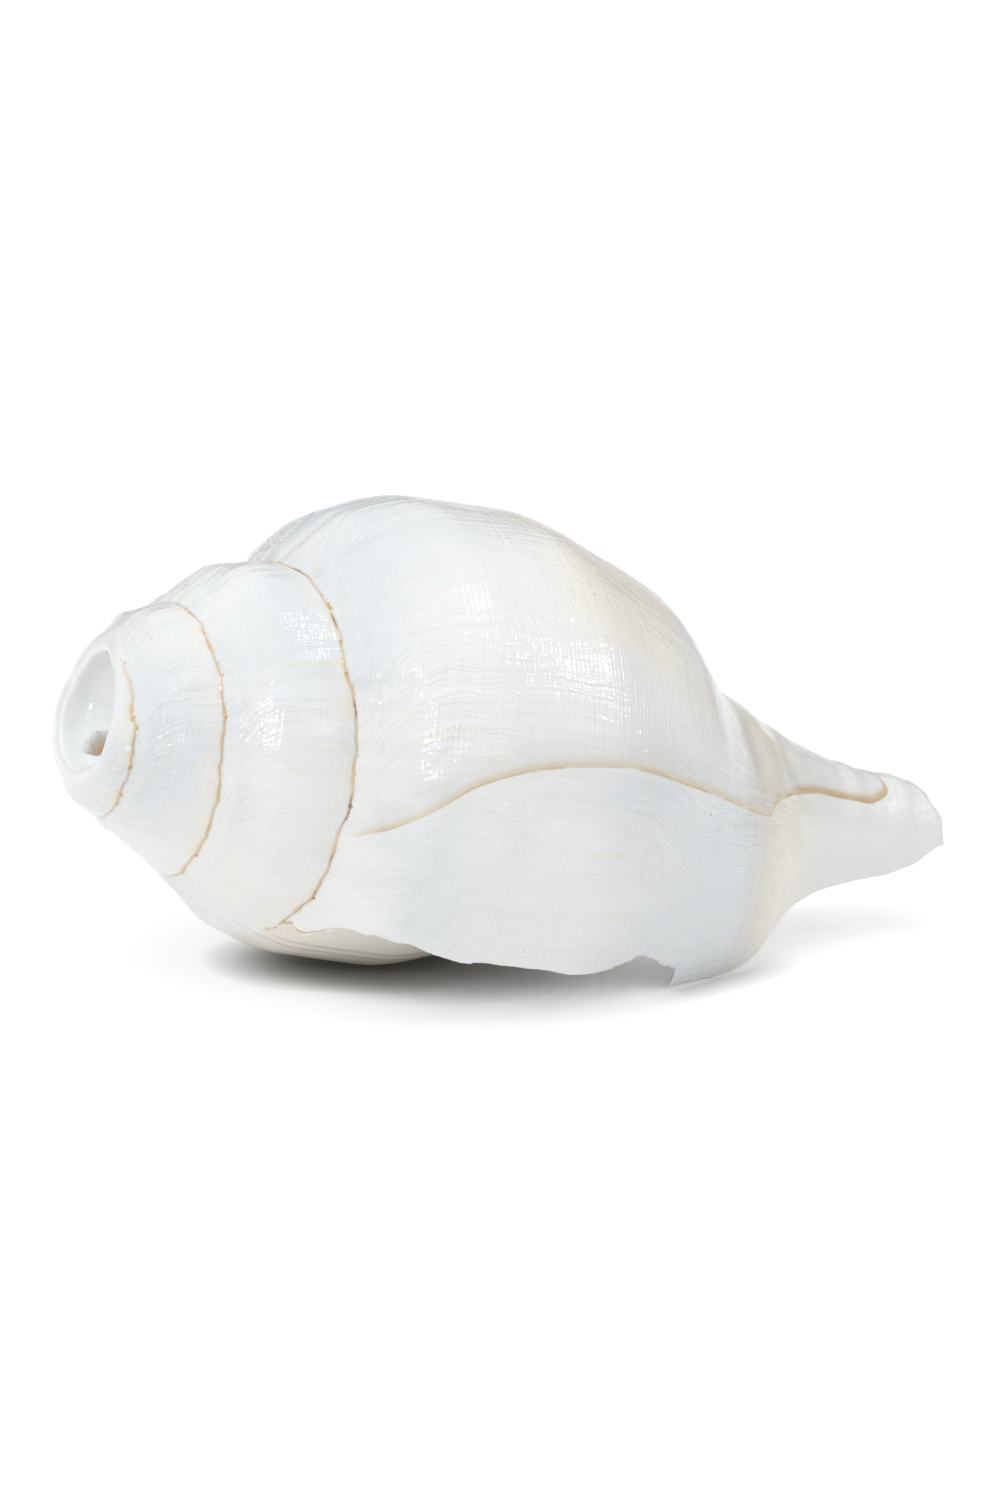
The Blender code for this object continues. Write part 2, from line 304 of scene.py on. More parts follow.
@dataclass(frozen=True)
class Relief:
    """The low forms on the outside: the rolled seam edge, bumps, folds and the old lip's step.

    The growth waves stand out on the second whorl's shoulder only.
    """

    wave_lengths: tuple = (37.0, 21.0, 13.0, 8.3, 5.1, 3.3, 2.4)
    wave_heights: tuple = (0.12, 0.11, 0.09, 0.06, 0.05, 0.045, 0.03)
    roll_height: float = 0.50
    roll_middle: float = 1.9
    roll_width: float = 1.5
    bump_height: float = 0.42
    sink: float = 0.22
    joint_height: float = 1.35
    joint_width: float = 4.5
    shoulder: float = 1.2
    fold_height: float = 0.30
    fan_height: float = 0.28
    scallop_height: float = 0.20
    old_step: float = 0.34
    old_place: tuple = (0.0, 0.03, 0.08, 0.125, 0.175, 0.25, 0.35, 0.46, 0.55, 0.612, 0.622,
                        0.635, 0.66, 0.71, 0.76, 0.85, 0.885, 0.905, 0.915, 0.925)
    old_deg: tuple = (-15.0, -22.0, -31.5, -38.0, -41.8, -44.5, -46.0, -44.0, -41.3, -39.2, -39.0,
                      -43.5, -47.0, -52.3, -57.0, -60.0, -70.0, -84.0, -125.0, -400.0)

    def height(self, winding: Winding, u: np.ndarray, turn: np.ndarray) -> np.ndarray:
        """How far the real skin stands off the even one, in millimetres.

        Args:
            winding: the law of growth.
            u: places along the axis.
            turn: growth angles, with the same shape as u.

        Returns:
            Heights above the even skin, mostly below 0 so that the box keeps its size.
        """
        from_seam = u - winding.seam_u(turn)
        to_next = winding.seam_u(turn + TURN) - u
        place = np.clip(winding.place(u, turn), 0, 1)
        grown = winding.growth_mm(turn - winding.lip_lead(place))
        old_lip = np.radians(smooth_curve(place, self.old_place, self.old_deg))
        bend = 2.2 * np.sin(from_seam / 13.0) + 1.1 * np.sin(from_seam / 5.7 + 2.0)
        waves = ripple(grown + bend, self.wave_lengths, self.wave_heights, 11)
        roll = self.roll_height * bell(from_seam, self.roll_middle, self.roll_width)
        roll = roll * (0.75 + 0.25 * ripple(grown, (17.0, 9.0), (0.6, 0.4), 5))
        lumps = np.clip(ripple(grown, (14.0, 9.7, 6.1), (0.5, 0.4, 0.3), 8), 0, None)
        spire = ramp(-turn, 3.6, 5.4)
        lumps = self.bump_height * lumps * bell(to_next, 4.6, 2.6) * spire
        folds = self.fold_height * ripple(grown + 1.4 * from_seam, (6.3, 4.1), (0.6, 0.4), 21)
        folds = folds * bell(from_seam, 10.0, 6.0) * ramp(turn, -1.4, -0.2)
        step = (turn - old_lip) * np.maximum(48.0 * np.exp(winding.radius_growth * turn), 8.0)
        step = -self.old_step * ramp(step, -0.35, 0.35) * np.exp(-np.maximum(step, 0.0) / 8.0)
        step = step * ramp(place, 0.01, 0.06) * (1 - ramp(place, 0.84, 0.90))
        joint = self.joint(turn) * bell(from_seam, 0.0, self.joint_width)
        joint = joint + self.joint(turn + TURN) * bell(to_next, 0.0, self.joint_width)
        shoulder = self.shoulder * bell(from_seam, 9.0, 5.0) * bell(turn, -8.3, 0.8)
        settled = ramp(from_seam, 0.0, 1.2) * np.where(turn < -TURN + 0.6, ramp(to_next, 0, 0.9), 1)
        fan = self.fan_height * ripple(grown + 0.8 * from_seam, (2.6, 1.7), (0.6, 0.4), 17)
        fan = fan * ramp(turn, -19.7, -19.2) * ramp(-turn, 17.9, 18.4)
        scallops = ripple(u + 1.5 * np.sin(turn), (9.5, 5.2), (0.6, 0.4), 41)
        scallops = self.scallop_height * scallops * ramp(place, 0.72, 0.84)
        forms = waves * shoulder + roll + lumps + folds + step + fan + scallops
        return (forms + shoulder - self.sink) * settled + joint

    def joint(self, seam_turn: np.ndarray) -> np.ndarray:
        """How far the old whorls bulge at their seams, more below than above."""
        even = self.joint_height * (1.0 + 0.4 * np.cos(seam_turn + 4.9))
        return even * (1 - ramp(seam_turn, -4.3, -3.1))


@dataclass(frozen=True)
class Walls:
    """Thickness of the shell, which leaves the hollow."""

    behind: tuple = (0.0, 0.25, 0.6, 1.5, 3.0, 5.2, 7.0, 15.0)
    thick: tuple = (1.3, 2.8, 3.6, 3.8, 5.5, 5.5, 2.4, 2.2)
    canal: float = 2.2
    glaze: float = 0.35
    strip_end: float = 0.50
    points_a_side: int = 84
    past_canal: float = 8.0

    @staticmethod
    def lip_ripple(u: np.ndarray) -> np.ndarray:
        """The small waves of the lip's edge, in radians."""
        return ripple(u, (23.0, 11.0, 6.0), (0.004, 0.003, 0.002), 31)

    def spread(self, low: float, high: float) -> np.ndarray:
        """Places from low to high, closer together near low."""
        return low + (high - low) * np.linspace(0, 1, self.points_a_side) ** 1.2

    def wall(self, u: np.ndarray, wall: float) -> np.ndarray:
        """The wall is thinner along the canal than in the body."""
        return wall + (np.minimum(wall, self.canal) - wall) * ramp(u, 135, 160)

    def past_lip(self, winding: Winding, share: float) -> tuple:
        """An outline of the hollow past the lip.

        Args:
            winding: the law of growth.
            share: 0 at the lip and 1 at the strip's end.

        Returns:
            u, the turn, and the inner and outer radius of each point of the outline.
        """
        low = winding.seam_u(winding.lip_lead(np.array(0.0))) - 3.0
        u = self.spread(low, winding.canal_end + winding.canal_slant + self.past_canal)
        lead = winding.lip_lead(np.clip(winding.place(u, 0.0), 0, 1)) + self.lip_ripple(u)
        turn = lead + 0.02 + (self.strip_end + 0.08 - lead) * share
        inner = winding.older_skin(u, turn) + self.glaze
        return u, turn, inner, np.maximum(winding.skin_radius(u, turn), inner) + 7.0

    def behind_lip(self, winding: Winding, back: float) -> tuple:
        """An outline of the hollow this far behind the lip, in radians of growth.

        Args:
            winding: the law of growth.
            back: how far behind the lip.

        Returns:
            The same as past_lip.
        """
        fine = np.linspace(0.0, 1.0, 400)
        lip_share = 1 - ramp(back, 0.3, 2.5)
        start, end = winding.seam_u(-back), winding.tip_u(-back)
        thick = float(smooth_curve(back, self.behind, self.thick))

        def radii(u: np.ndarray) -> tuple:
            """The turn, and the inner and outer radius at u."""
            place = np.clip(winding.place(u, -back), 0, 1)
            lead = winding.lip_lead(place)
            edge = self.lip_ripple(u) * (1 - ramp(back, 0.0, 0.3))
            turn = lead * lip_share - back + edge
            inner = winding.older_skin(u, turn) + self.glaze
            return turn, inner, winding.skin_radius(u, turn) - self.wall(u, thick)

        u = start + fine * (end - start)
        _, inner, outer = radii(u)
        low = u[int(np.argmax(outer - inner > 1.2))]
        reach = 0.93 - 0.27 * ramp(back, 0.3, 3.0)
        closed = (u > low) & ((outer - inner < 1.0) | (fine > reach))
        past_end = winding.canal_end + winding.canal_slant + self.past_canal
        u = self.spread(low, u[int(np.argmax(closed))] if back > 0.02 else past_end)
        turn, inner, outer = radii(u)
        return u, turn, inner, np.maximum(outer, inner + 0.8)


@dataclass(frozen=True)
class WornEnd:
    """The ground-down spire: an uneven rim round a bowl, with a pierced hole in its floor."""

    cut_at: float = 23.1
    cut_slant: float = math.radians(6.0)
    bowl_radius: float = 9.3
    bowl_shift: float = 0.9
    bowl_depth: float = 6.8
    corners: tuple = ((-10.0, 1.4, 0.42), (-137.0, 1.1, 0.6))
    rim_radius: float = 11.5
    hole_turn: float = math.radians(83.0)
    hole_sizes: tuple = (2.3, 1.9, 2.6, 2.0, 2.4, 1.8, 2.6, 2.0)
    segments: int = 144

    def outline(self) -> tuple:
        """Depth below the cut and radius of each ring, from the bowl's floor outwards."""
        depth, radius, edge = self.bowl_depth, self.bowl_radius, self.rim_radius
        bowl = [
            (depth * math.cos(a) ** 0.55, radius * math.sin(a))
            for a in np.linspace(0.0, math.pi / 2 - 0.02, 18)
        ]
        rim = [
            (0.3, radius + 0.1), (0.1, radius + 0.3), (0.0, radius + 0.7), (0.06, edge - 0.4),
            (0.4, edge + 0.7), (1.0, edge + 1.4), (2.0, edge + 2.4), (4.2, edge + 5.5),
            (7.0, edge + 11.0),
        ]
        return bowl + rim + [(9.0, 36.0), (-50.0, 36.0), (-50.0, 0.0)]

    def rings(self, lie: Lie) -> np.ndarray:
        """Points of every ring, one ring a row.

        Args:
            lie: how the shell lies.

        Returns:
            The points, by ring and by place round it.
        """
        turn = np.arange(self.segments) * TURN / self.segments
        sway = 0.35 * np.sin(2 * turn + 1.0) + 0.22 * np.sin(5 * turn)
        sway = sway + 0.12 * np.sin(9 * turn + 2)
        rings = []
        for depth, radius in self.outline():
            near_rim = float(bell(np.array(radius), self.rim_radius, 5.0)) * (radius > 0)
            r = radius * (1 + 0.022 * near_rim * np.sin(3 * turn + 0.6)) + 0.3 * near_rim * sway
            shifted = min(radius / self.bowl_radius, 1.0) * (radius < self.rim_radius - 1.0)
            r = r + self.bowl_shift * shifted * np.sin(lie.lip_angle + turn)
            for middle, height, width in self.corners:
                past = (turn - math.radians(middle) + math.pi) % TURN - math.pi
                r = r + height * near_rim * bell(past, 0.0, width)
            lean = r * np.cos(lie.lip_angle + turn) * math.tan(self.cut_slant)
            rings.append(lie.to_world(self.cut_at + depth + lean + 0.5 * near_rim * sway, r, turn))
        return np.array(rings)

    def hole(self, lie: Lie) -> tuple:
        """The jagged outline of the pierced hole at its two ends.

        Args:
            lie: how the shell lies.

        Returns:
            The points of the near and of the far outline.
        """
        start = lie.to_world(self.cut_at + 3.0, 4.2, self.hole_turn)
        end = lie.to_world(self.cut_at + 16.0, 16.5, self.hole_turn)
        run = (end - start) / np.linalg.norm(end - start)
        side = lie.to_world(0.0, 1.0, self.hole_turn + TURN / 4) - lie.to_world(0.0, 0.0, 0.0)
        other = np.cross(run, side)
        angle = (np.arange(48) * TURN / 48)[:, None]
        size = np.interp(angle, np.linspace(0, TURN, 9), [*self.hole_sizes, self.hole_sizes[0]])
        size = size + 0.12 * np.sin(7 * angle)
        rim = size * (np.cos(angle) * side + 0.85 * np.sin(angle) * other)
        return start + rim, end + 1.25 * rim


class Origin(Enum):
    """Which body a face of the finished shell comes from."""

    SKIN = 0
    LINING = 1
    WORN = 2
    HOLE = 3
    CHIP = 4
    GROUND = 5


def closed_body(name: str, points: np.ndarray, faces: list, origin: Origin) -> bpy.types.Object:
    """Makes a closed mesh with outward faces.

    Args:
        name: the object's name.
        points: its points in millimetres.
        faces: its faces as lists of point numbers.
        origin: what its faces are called after the cuts.

    Returns:
        The object, in metres and linked to the scene.
    """
    mesh = bpy.data.meshes.new(name)
    mesh.from_pydata((points * MM).tolist(), [], faces)
    build = bmesh.new()
    build.from_mesh(mesh)
    bmesh.ops.remove_doubles(build, verts=build.verts, dist=1e-7)
    bmesh.ops.triangulate(build, faces=build.faces)
    bmesh.ops.recalc_face_normals(build, faces=build.faces)
    if build.calc_volume(signed=True) < 0:
        bmesh.ops.reverse_faces(build, faces=build.faces)
    build.to_mesh(mesh)
    build.free()
    for _ in Origin:
        mesh.materials.append(None)
    mesh.polygons.foreach_set("material_index", np.full(len(mesh.polygons), origin.value, np.int32))
    thing = bpy.data.objects.new(name, mesh)
    bpy.context.scene.collection.objects.link(thing)
    return thing


def tube_faces(rings: int, size: int) -> list:
    """The faces between each closed ring of points and the next one of the same size."""
    return [
        [first + k, first + (k + 1) % size, first + size + (k + 1) % size, first + size + k]
        for first in range(0, (rings - 1) * size, size)
        for k in range(size)
    ]


def numbers(items: bpy.types.bpy_prop_collection, name: str, width: int = 1) -> np.ndarray:
    """One property of all of a mesh's items: whole numbers, or rows of a given width."""
    values = np.empty(len(items) * width, np.int32 if width == 1 else float)
    items.foreach_get(name, values)
    return values if width == 1 else values.reshape(-1, width)


@dataclass
class Conch:
    """The whole shell: wound, hollowed, worn, rounded at its edges and dressed."""

    winding: Winding = field(default_factory=Winding)
    lie: Lie = field(default_factory=Lie)
    relief: Relief = field(default_factory=Relief)
    walls: Walls = field(default_factory=Walls)
    worn: WornEnd = field(default_factory=WornEnd)
    columns: int = 300
    spire_rows: int = 24
    body_rows: int = 104
    turns_before: float = 3.6
    chip_u: tuple = (104.4, 105.0, 108.9, 111.3, 112.2, 112.9, 115.2, 117.0, 118.9, 121.0, 123.1,
                     124.2, 124.6, 125.3)
    chip_deg: tuple = (12.0, -1.8, -2.5, -3.4, -3.5, -4.5, -4.2, -2.9, -1.4, 0.4, 1.8, 2.4, 5.0,
                       14.0)
    cap_rings: tuple = ((1.2, 0.985), (0.75, 0.95), (0.4, 0.88), (0.1, 0.76), (-0.1, 0.6),
                        (-0.25, 0.42), (-0.3, 0.22))

    def formed(self, u: np.ndarray, turn: np.ndarray) -> np.ndarray:
        """Radius of the skin with its low forms."""
        return self.winding.skin_radius(u, turn) + self.relief.height(self.winding, u, turn)

    def spire_skin(self, turns: np.ndarray) -> np.ndarray:
        """Points of the whorls, from each seam to the next one.

        Args:
            turns: the growth angle of each row of points.

        Returns:
            The points, by row and by place across the whorl.
        """
        even = np.linspace(0, 1, self.spire_rows + 1)
        share = 0.5 * even + 0.5 * (1 - np.cos(math.pi * even)) / 2
        start, following = self.winding.seam_u(turns), self.winding.seam_u(turns + TURN)
        u = start[:, None] + (following - start)[:, None] * share
        turn = np.repeat(turns[:, None], self.spire_rows + 1, axis=1)
        r = self.formed(u, turn)
        r[turns < self.walls.strip_end - TURN, -1] -= 0.5
        return self.lie.to_world(u, r, turn)

    def body_skin(self, turns: np.ndarray) -> np.ndarray:
        """Points of the last whorl, from the seam below it to the canal's closed end.

        Args:
            turns: the growth angle of each row of points.

        Returns:
            The points, by row and by place along the shell.
        """
        end, canal = self.winding.canal_end_u(turns), self.winding.canal_end
        even = np.arange(1, self.body_rows + 1) / self.body_rows
        share = even + 0.10 * even * (1 - even)
        start = self.winding.seam_u(turns + TURN)[:, None]
        u = start + (end[:, None] - 2.0 - start) * share
        turn = np.repeat(turns[:, None], self.body_rows, axis=1)
        body = self.lie.to_world(u, self.formed(u, turn), turn)
        edge = self.formed(end, turns)
        cap = [
            self.lie.to_world(canal + (end - canal) * inset**3 - back, edge * inset, turns)
            for back, inset in self.cap_rings
        ]
        return np.concatenate([body, np.stack(cap, axis=1)], axis=1)

    def wound_skin(self) -> bpy.types.Object:
        """The outside of the whole shell, still solid and still with its spire.

        Returns:
            The shell as one closed body.
        """
        count = int(round(self.turns_before * self.columns))
        turns = self.walls.strip_end + (np.arange(count + 1) - count) * TURN / self.columns
        body_from = count - self.columns
        spire, body = self.spire_skin(turns), self.body_skin(turns[body_from:])
        spire_index = np.arange(spire.shape[0] * spire.shape[1]).reshape(spire.shape[:2])
        spire_index[self.columns:, 0] = spire_index[:-self.columns, -1]
        body_index = spire_index.max() + 1 + np.arange(body.shape[0] * body.shape[1])
        body_index = body_index.reshape(body.shape[:2])
        body_index = np.concatenate([spire_index[body_from:, -1:], body_index], axis=1)
        poles = np.array([
            self.lie.to_world(float(self.winding.seam_u(turns[0])) * 0.8, 0.0, 0.0),
            self.lie.to_world(self.winding.canal_end + 0.4, 0.0, 0.0),
        ])
        points = np.concatenate([spire.reshape(-1, 3), body.reshape(-1, 3), poles])
        spire_pole, canal_pole = len(points) - 2, len(points) - 1

        faces = self.grid_faces(spire_index) + self.grid_faces(body_index)
        rim = body_index[:, -1]
        faces += [[a, canal_pole, b] for a, b in zip(rim[:-1], rim[1:])]
        for chain in (spire_index[:self.columns + 1, 0], spire_index[0]):
            faces += [[a, b, spire_pole] for a, b in zip(chain[:-1], chain[1:])]
        outer = [*spire_index[-1], *body_index[-1, 1:], canal_pole]
        inner = [*body_index[0], canal_pole]
        faces += self.between_chains(points, outer, inner)
        return closed_body("conch", points, faces, Origin.SKIN)

    @staticmethod
    def grid_faces(index: np.ndarray) -> list:
        """The faces between neighbouring points of a grid, which holds their numbers."""
        corners = [index[:-1, :-1], index[:-1, 1:], index[1:, 1:], index[1:, :-1]]
        return np.stack(corners, axis=-1).reshape(-1, 4).tolist()

    @staticmethod
    def between_chains(points: np.ndarray, first: list, second: list) -> list:
        """Triangles that fill the gap between two chains with common end points.

        Args:
            points: all points, for their places along x.
            first: point numbers of one chain.
            second: point numbers of the other.

        Returns:
            The triangles, as lists of point numbers.
        """
        faces, i, j = [], 0, 0
        while i < len(first) - 1 or j < len(second) - 1:
            along_first = i < len(first) - 1 and (
                j == len(second) - 1 or points[first[i + 1]][0] <= points[second[j + 1]][0]
            )
            if along_first:
                corner = [first[i], first[i + 1], second[j]]
                i += 1
            else:
                corner = [first[i], second[j + 1], second[j]]
                j += 1
            if len(set(corner)) == 3:
                faces.append(corner)
        return faces

    def hollow(self) -> bpy.types.Object:
        """The hollow: a winding body from the pierced end out through the opening."""
        shares = (1.0, 0.8, 0.6, 0.4, 0.25, 0.1, 0.0)
        sections = [self.walls.past_lip(self.winding, share) for share in shares]
        backs = [0.0, 0.015, 0.04, 0.08, *np.arange(0.13, 3.2, 0.06), *np.arange(3.2, 14.3, 0.16)]
        sections += [self.walls.behind_lip(self.winding, float(back)) for back in backs]
        side = self.walls.points_a_side
        size = 2 * side
        sides = []
        for u, turn, inner, outer in sections:
            sides += [self.lie.to_world(u, outer, turn), self.lie.to_world(u, inner, turn)[::-1]]
        faces = tube_faces(len(sections), size)
        for base in (0, (len(sections) - 1) * size):
            for k in range(side - 1):
                faces.append([base + k, base + k + 1, base + size - 2 - k, base + size - 1 - k])
        return closed_body("hollow", np.concatenate(sides), faces, Origin.LINING)

    def worn_end(self) -> bpy.types.Object:
        """Cuts the spire off, rounds the rim that is left and hollows the bowl in it."""
        rings = self.worn.rings(self.lie)
        faces = tube_faces(len(rings), self.worn.segments)
        return closed_body("worn_end", rings.reshape(-1, 3), faces, Origin.WORN)

    @staticmethod
    def prism(name: str, near: np.ndarray, far: np.ndarray, origin: Origin) -> bpy.types.Object:
        """A closed body between two outlines with the same number of points.

        Args:
            name: the object's name.
            near: the points of one outline.
            far: the points of the other.
            origin: what its faces are called after the cuts.

        Returns:
            The body.
        """
        size = len(near)
        faces = [list(range(size)), list(range(size, 2 * size))] + tube_faces(2, size)
        return closed_body(name, np.concatenate([near, far]), faces, origin)

    def chip(self) -> bpy.types.Object:
        """The bite missing from the edge of the lip."""
        u, turn = np.array(self.chip_u), np.radians(self.chip_deg)
        near, far = self.lie.to_world(u, 26.0, turn), self.lie.to_world(u, 62.0, turn)
        return self.prism("lip_chip", near, far, Origin.CHIP)

    def ground(self) -> bpy.types.Object:
        """A block that grinds the small flats the shell rests on."""
        top = np.array([(-120, -90, 0), (120, -90, 0), (120, 90, 0), (-120, 90, 0)], float)
        return self.prism("floor_below", top - np.array([0, 0, 40]), top, Origin.GROUND)

    def build(self) -> bpy.types.Object:
        """Winds the shell, makes every cut and rounds the sharp edges.

        Returns:
            The finished shell as one object with one plain mesh.
        """
        shell = self.wound_skin()
        cutters = [self.hollow(), self.worn_end(), self.chip(), self.ground()]
        cutters.append(self.prism("pierced_hole", *self.worn.hole(self.lie), Origin.HOLE))
        for cutter in cutters:
            cut = shell.modifiers.new("cut_" + cutter.name, "BOOLEAN")
            cut.operation = "DIFFERENCE"
            cut.solver = "MANIFOLD"
            cut.object = cutter
        graph = bpy.context.evaluated_depsgraph_get()
        mesh = bpy.data.meshes.new_from_object(shell.evaluated_get(graph))
        shell.modifiers.clear()
        shell.data = mesh
        for cutter in cutters:
            bpy.data.objects.remove(cutter, do_unlink=True)
        self.round_edges(mesh)
        self.keep_in_box(mesh)
        self.mark(mesh)
        return shell

    @staticmethod
    def round_edges(mesh: bpy.types.Mesh) -> None:
        """Wears the sharp edges of the lip, the rim and the chip by smoothing round them."""
        build = bmesh.new()
        build.from_mesh(mesh)
        bmesh.ops.remove_doubles(build, verts=build.verts, dist=3e-5)
        bmesh.ops.dissolve_degenerate(build, edges=build.edges, dist=1e-6)
        bmesh.ops.triangulate(build, faces=[f for f in build.faces if len(f.verts) > 3])
        sharp = {
            vert for edge in build.edges
            if len(edge.link_faces) == 2 and edge.calc_face_angle(0.0) > math.radians(38)
            for vert in edge.verts
        }
        near = {other for vert in sharp for edge in vert.link_edges for other in edge.verts}
        for _ in range(3):
            bmesh.ops.smooth_vert(build, verts=list(near), factor=0.4, use_axis_x=True,
                                  use_axis_y=True, use_axis_z=True)
        build.to_mesh(mesh)
        build.free()

    @staticmethod
    def keep_in_box(mesh: bpy.types.Mesh) -> None:
        """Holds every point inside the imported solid's box."""
        low, high = (np.array(corner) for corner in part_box(NODE))
        points = np.clip(numbers(mesh.vertices, "co", 3), low, high)
        mesh.vertices.foreach_set("co", points.ravel())
        mesh.update()

    def mark(self, mesh: bpy.types.Mesh) -> None:
        """Writes where every corner lies on the shell, for the material to read.

        Args:
            mesh: the finished mesh, whose material numbers tell each face's origin.
        """
        points = numbers(mesh.vertices, "co", 3) / MM
        size = numbers(mesh.polygons, "loop_total")
        origin = numbers(mesh.polygons, "material_index")
        face = np.repeat(np.arange(len(size)), size)

        corners = points[numbers(mesh.loops, "vertex_index")]
        middles = np.add.reduceat(corners, numbers(mesh.polygons, "loop_start")) / size[:, None]
        u, r, turn = self.lie.from_world(middles)
        whorl = turn.copy()
        for back in range(-4, 2):
            later = turn + back * TURN
            reached = later < self.walls.strip_end + 0.05
            whorl = np.where(reached & (u >= self.winding.seam_u(later) - 0.05), later, whorl)
        cu, cr, cturn = self.lie.from_world(corners)
        cturn = whorl[face] + (cturn - whorl[face] + math.pi) % TURN - math.pi

        from_seam = cu - self.winding.seam_u(cturn)
        next_seam = self.winding.seam_u(cturn + TURN) - cu
        to_next = np.where(whorl[face] < self.walls.strip_end - TURN, next_seam, 99.0)
        place = np.clip(self.winding.place(cu, cturn), 0, 1)
        lead = self.winding.lip_lead(place)
        grown = self.winding.growth_mm(cturn - lead * 0.85)
        old_line = np.radians(smooth_curve(place, self.relief.old_place, self.relief.old_deg))
        old = (cturn - old_line) * np.maximum(cr, 8.0)
        behind = (lead - cturn) * np.maximum(cr, 8.0)
        ahead = cturn + TURN
        on_wall = (ahead > self.walls.strip_end) & (cu > self.winding.seam_u(ahead))
        behind = np.where(on_wall, 1.0 - 4.0 * ramp(-ahead, -2.4, -1.4), behind)
        depth = self.winding.skin_radius(cu, cturn) - cr
        kind = origin[face]
        lining = np.where(kind == Origin.LINING.value, ramp(depth, 0.9, 2.4), 0.0)
        lining = np.where(cturn > lead, 0.0, lining)
        hole = (kind == Origin.HOLE.value) | ((kind == Origin.LINING.value) & (cu < 50))
        worn = np.where(kind == Origin.WORN.value, 1 - ramp(cr, self.worn.rim_radius, 13.5), 0.0)
        cap = np.where((kind == Origin.SKIN.value) & (cu > 170), ramp(depth, 0.3, 1.0), 0.0)
        callus = ((kind == Origin.LINING.value) & (depth < 0.9)).astype(float)
        self.write(mesh, "growth", grown, cu, place)
        self.write(mesh, "seams", from_seam, to_next, old)
        self.write(mesh, "kinds", lining, worn, hole.astype(float))
        self.write(mesh, "edges", behind, cap, callus)
        mesh.materials.clear()
        mesh.polygons.foreach_set("material_index", np.zeros(len(mesh.polygons), np.int32))
        mesh.shade_smooth()
        mesh.set_sharp_from_angle(angle=math.radians(50))

    @staticmethod
    def write(mesh: bpy.types.Mesh, name: str, *values: np.ndarray) -> None:
        """Stores three numbers for each face corner under one name."""
        attribute = mesh.attributes.new(name, "FLOAT_VECTOR", "CORNER")
        attribute.data.foreach_set("vector", np.stack(values, axis=-1).astype(np.float32).ravel())


class Wire:
    """The output of a shader node, which Python's own operators can work on."""

    def __init__(self, book: "NodeBook", socket: bpy.types.NodeSocket) -> None:
        """Keeps the output and the tree that it is in."""
        self.book = book
        self.socket = socket

    def math(self, operation: str, *others: "Wire | float") -> "Wire":
        """A Math node on this value and the others."""
        values = dict(enumerate((self, *others)))
        return self.book.add("ShaderNodeMath", {"operation": operation}, values)

    def __add__(self, other: "Wire | float") -> "Wire":
        """This value plus the other."""
        return self.math("ADD", other)

    __radd__ = __add__

    def __sub__(self, other: "Wire | float") -> "Wire":
        """This value less the other."""
        return self.math("SUBTRACT", other)

    def __rsub__(self, other: float) -> "Wire":
        """The number less this value."""
        return self.book.add("ShaderNodeMath", {"operation": "SUBTRACT"}, {0: other, 1: self})

    def __mul__(self, other: "Wire | float") -> "Wire":
        """This value times the other."""
        return self.math("MULTIPLY", other)

    __rmul__ = __mul__

    def __truediv__(self, other: "Wire | float") -> "Wire":
        """This value over the other."""
        return self.math("DIVIDE", other)

    def __neg__(self) -> "Wire":
        """This value with its sign changed."""
        return self.math("MULTIPLY", -1.0)

    def __abs__(self) -> "Wire":
        """This value's size."""
        return self.math("ABSOLUTE")

    def rise(self, low: float, high: float) -> "Wire":
        """0 below low, 1 above high, and smooth between them; it falls when low is above high."""
        ends = (low, high, 0.0, 1.0) if low < high else (high, low, 1.0, 0.0)
        return self.between(*ends)

    def between(self, low: float, high: float, at_low: float, at_high: float) -> "Wire":
        """A value that turns smoothly from one number into another between low and high."""
        settings = {"interpolation_type": "SMOOTHSTEP", "clamp": True}
        names = ("From Min", "From Max", "To Min", "To Max")
        values = {"Value": self, **dict(zip(names, (low, high, at_low, at_high)))}
        return self.book.add("ShaderNodeMapRange", settings, values)

    def at_least(self, other: "Wire | float") -> "Wire":
        """The larger of this value and the other."""
        return self.math("MAXIMUM", other)

    def at_most(self, other: "Wire | float") -> "Wire":
        """The smaller of this value and the other."""
        return self.math("MINIMUM", other)


